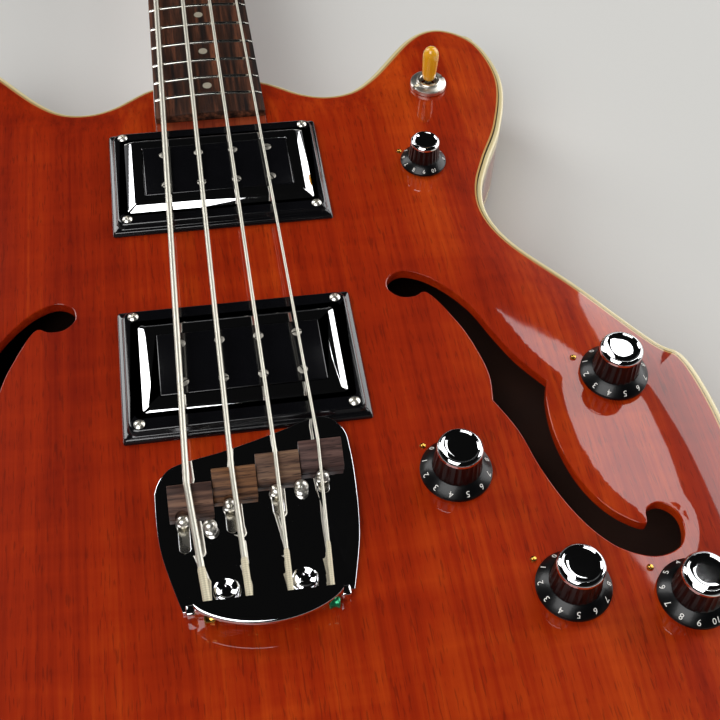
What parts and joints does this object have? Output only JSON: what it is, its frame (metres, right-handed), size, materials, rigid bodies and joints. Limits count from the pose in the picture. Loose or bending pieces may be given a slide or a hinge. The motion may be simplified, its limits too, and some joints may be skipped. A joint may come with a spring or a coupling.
{
  "type": "semi-hollow bass guitar",
  "caption": "Double-cutaway semi-hollow electric bass with arched gloss body, f-holes, humbucking pickups, adjustable harp-shaped bridge, rotary controls and geared tuners.",
  "frame": {"origin": "on the flat of the back, on the centre line, under the end of the string scale at the bridge", "axes": "+Z out of the top, +Y along the neck from the tail to the headstock, +X to the treble side"},
  "size_m": [0.4241, 1.1865, 0.0867],
  "materials": {
    "mahogany": "clear gloss lacquer over red-stained mahogany",
    "binding": "polished cream binding",
    "maple": "bare maple",
    "rosewood": "oiled rosewood",
    "bone": "polished bone",
    "steel": "zinc-plated steel",
    "black_plastic": "moulded gloss black",
    "chrome": "mirror chrome",
    "strings": "wound nickel",
    "amber_plastic": "moulded amber"
  },
  "bodies": {
    "root": {"top_plate": "mahogany", "back_plate": "mahogany", "sides": "mahogany", "neck": "mahogany", "top_binding": "binding", "back_binding": "binding", "centre_block": "maple", "fingerboard": "rosewood", "nut": "bone", "pot_master_volume": "steel", "pot_neck_volume": "steel", "pot_bridge_volume": "steel", "pot_neck_tone": "steel", "pot_bridge_tone": "steel", "neck_pickup_ring": "black_plastic", "bridge_pickup_ring": "black_plastic", "neck_pickup_coil": "black_plastic", "bridge_pickup_coil": "black_plastic", "neck_pickup_cover": "chrome", "bridge_pickup_cover": "chrome", "bridge_plate": "chrome", "bass_mounting_screw": "chrome", "treble_mounting_screw": "chrome", "tuner_plate_e": "chrome", "tuner_plate_a": "chrome", "tuner_plate_d": "chrome", "tuner_plate_g": "chrome", "switch_body": "chrome", "output_jack": "chrome", "strap_button_tail": "chrome", "strap_button_heel": "chrome", "string_e": "strings", "string_a": "strings", "string_d": "strings", "string_g": "strings"},
    "knob_master_volume": {"knob_master_volume": "black_plastic"},
    "knob_neck_volume": {"knob_neck_volume": "black_plastic"},
    "knob_bridge_volume": {"knob_bridge_volume": "black_plastic"},
    "knob_neck_tone": {"knob_neck_tone": "black_plastic"},
    "knob_bridge_tone": {"knob_bridge_tone": "black_plastic"},
    "switch_lever": {"switch_lever": "amber_plastic"},
    "saddle_e": {"saddle_e": "rosewood", "saddle_screw_e": "chrome"},
    "saddle_a": {"saddle_a": "rosewood", "saddle_screw_a": "chrome"},
    "saddle_d": {"saddle_d": "rosewood", "saddle_screw_d": "chrome"},
    "saddle_g": {"saddle_g": "rosewood", "saddle_screw_g": "chrome"},
    "bass_height_screw": {"bass_height_screw": "chrome"},
    "treble_height_screw": {"treble_height_screw": "chrome"},
    "tuner_post_e": {"tuner_post_e": "chrome"},
    "tuner_button_e": {"tuner_button_e": "chrome"},
    "tuner_post_a": {"tuner_post_a": "chrome"},
    "tuner_button_a": {"tuner_button_a": "chrome"},
    "tuner_post_d": {"tuner_post_d": "chrome"},
    "tuner_button_d": {"tuner_button_d": "chrome"},
    "tuner_post_g": {"tuner_post_g": "chrome"},
    "tuner_button_g": {"tuner_button_g": "chrome"},
    "truss_rod": {"truss_rod": "steel"}
  },
  "joints": [
    {"name": "master_volume_turn", "type": "hinge", "parent": "root", "child": "knob_master_volume", "pos_m": [0.1053, 0.1752, 0.062], "axis": [0, 0, 1], "range_deg": [-150, 150]},
    {"name": "neck_volume_turn", "type": "hinge", "parent": "root", "child": "knob_neck_volume", "pos_m": [0.0833, -0.011, 0.062], "axis": [0, 0, 1], "range_deg": [-295, 5]},
    {"name": "bridge_volume_turn", "type": "hinge", "parent": "root", "child": "knob_bridge_volume", "pos_m": [0.1185, -0.0695, 0.062], "axis": [0, 0, 1], "range_deg": [-280, 20]},
    {"name": "neck_tone_turn", "type": "hinge", "parent": "root", "child": "knob_neck_tone", "pos_m": [0.165, 0.031, 0.062], "axis": [0, 0, 1], "range_deg": [-280, 20]},
    {"name": "bridge_tone_turn", "type": "hinge", "parent": "root", "child": "knob_bridge_tone", "pos_m": [0.166, -0.079, 0.062], "axis": [0, 0, 1], "range_deg": [-150, 150]},
    {"name": "switch_throw", "type": "hinge", "parent": "root", "child": "switch_lever", "pos_m": [0.1195, 0.2345, 0.05946], "axis": [1, 0, 0], "range_deg": [-12, 12]},
    {"name": "saddle_e_slide", "type": "slide", "parent": "root", "child": "saddle_e", "axis": [0, 0.9981, 0.061], "range_m": [-0.0022, 0.003]},
    {"name": "saddle_a_slide", "type": "slide", "parent": "root", "child": "saddle_a", "axis": [0, 0.9981, 0.061], "range_m": [-0.003, 0.003]},
    {"name": "saddle_d_slide", "type": "slide", "parent": "root", "child": "saddle_d", "axis": [0, 0.9981, 0.061], "range_m": [0, 0.003]},
    {"name": "saddle_g_slide", "type": "slide", "parent": "root", "child": "saddle_g", "axis": [0, 0.9981, 0.061], "range_m": [-0.003, 0.003]},
    {"name": "bass_height_screw_turn", "type": "hinge", "parent": "root", "child": "bass_height_screw", "pos_m": [-0.0207, -0.02645, 0.06422], "axis": [0, -0.061, 0.9981], "range_deg": [-360, 360]},
    {"name": "treble_height_screw_turn", "type": "hinge", "parent": "root", "child": "treble_height_screw", "pos_m": [0.0175, -0.01387, 0.06499], "axis": [0, -0.061, 0.9981], "range_deg": [-360, 360]},
    {"name": "tuner_post_e_turn", "type": "hinge", "parent": "root", "child": "tuner_post_e", "pos_m": [-0.024, 0.83032, 0.04693], "axis": [0, 0.1736, 0.9848], "continuous": true},
    {"name": "tuner_post_a_turn", "type": "hinge", "parent": "root", "child": "tuner_post_a", "pos_m": [-0.023, 0.89236, 0.03599], "axis": [0, 0.1736, 0.9848], "continuous": true},
    {"name": "tuner_post_d_turn", "type": "hinge", "parent": "root", "child": "tuner_post_d", "pos_m": [0.023, 0.89236, 0.03599], "axis": [0, 0.1736, 0.9848], "continuous": true},
    {"name": "tuner_post_g_turn", "type": "hinge", "parent": "root", "child": "tuner_post_g", "pos_m": [0.024, 0.83032, 0.04693], "axis": [0, 0.1736, 0.9848], "continuous": true},
    {"name": "tuner_button_e_turn", "type": "hinge", "parent": "root", "child": "tuner_button_e", "pos_m": [-0.024, 0.83901, 0.0254], "axis": [-1, 0, 0], "continuous": true},
    {"name": "tuner_button_a_turn", "type": "hinge", "parent": "root", "child": "tuner_button_a", "pos_m": [-0.023, 0.90105, 0.01446], "axis": [-1, 0, 0], "continuous": true},
    {"name": "tuner_button_d_turn", "type": "hinge", "parent": "root", "child": "tuner_button_d", "pos_m": [0.023, 0.90105, 0.01446], "axis": [1, 0, 0], "continuous": true},
    {"name": "tuner_button_g_turn", "type": "hinge", "parent": "root", "child": "tuner_button_g", "pos_m": [0.024, 0.83901, 0.0254], "axis": [1, 0, 0], "continuous": true},
    {"name": "truss_rod_turn", "type": "hinge", "parent": "root", "child": "truss_rod", "pos_m": [0, 0.302, 0.05582], "axis": [0, 0.9999, -0.014], "range_deg": [-360, 360]}
  ],
  "couplings": [
    {"joint": "tuner_post_e_turn", "follows": "tuner_button_e_turn", "ratio": 0.05},
    {"joint": "tuner_post_a_turn", "follows": "tuner_button_a_turn", "ratio": 0.05},
    {"joint": "tuner_post_d_turn", "follows": "tuner_button_d_turn", "ratio": 0.05},
    {"joint": "tuner_post_g_turn", "follows": "tuner_button_g_turn", "ratio": 0.05}
  ]
}
